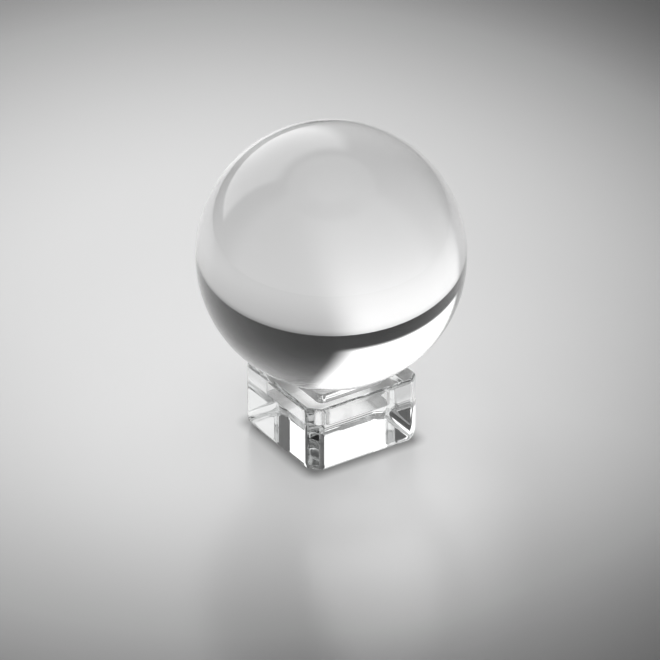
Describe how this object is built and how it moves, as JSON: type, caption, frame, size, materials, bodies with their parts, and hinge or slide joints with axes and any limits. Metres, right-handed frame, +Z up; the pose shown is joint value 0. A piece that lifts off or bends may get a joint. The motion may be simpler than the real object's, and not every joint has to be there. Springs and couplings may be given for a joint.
{
  "type": "glass ball on a square glass stand",
  "caption": "Clear solid glass ball resting loose on the rim of a square recess in a small clear glass block with cut corners.",
  "frame": {"origin": "centre of the stand's underside, on the surface that the stand rests on", "axes": "+Z up through the ball's centre; +X and +Y square to the stand's upright sides"},
  "size_m": [0.08, 0.08, 0.1001],
  "materials": {
    "ball_glass": "polished, colourless optical glass",
    "stand_glass": "fire-polished, pressed clear glass"
  },
  "bodies": {
    "stand": {"glass_stand": "stand_glass"},
    "ball": {"crystal_ball": "ball_glass"}
  },
  "joints": [
    {"name": "ball_lift", "type": "slide", "parent": "stand", "child": "ball", "axis": [0, 0, 1], "range_m": [0, 0.04]}
  ]
}
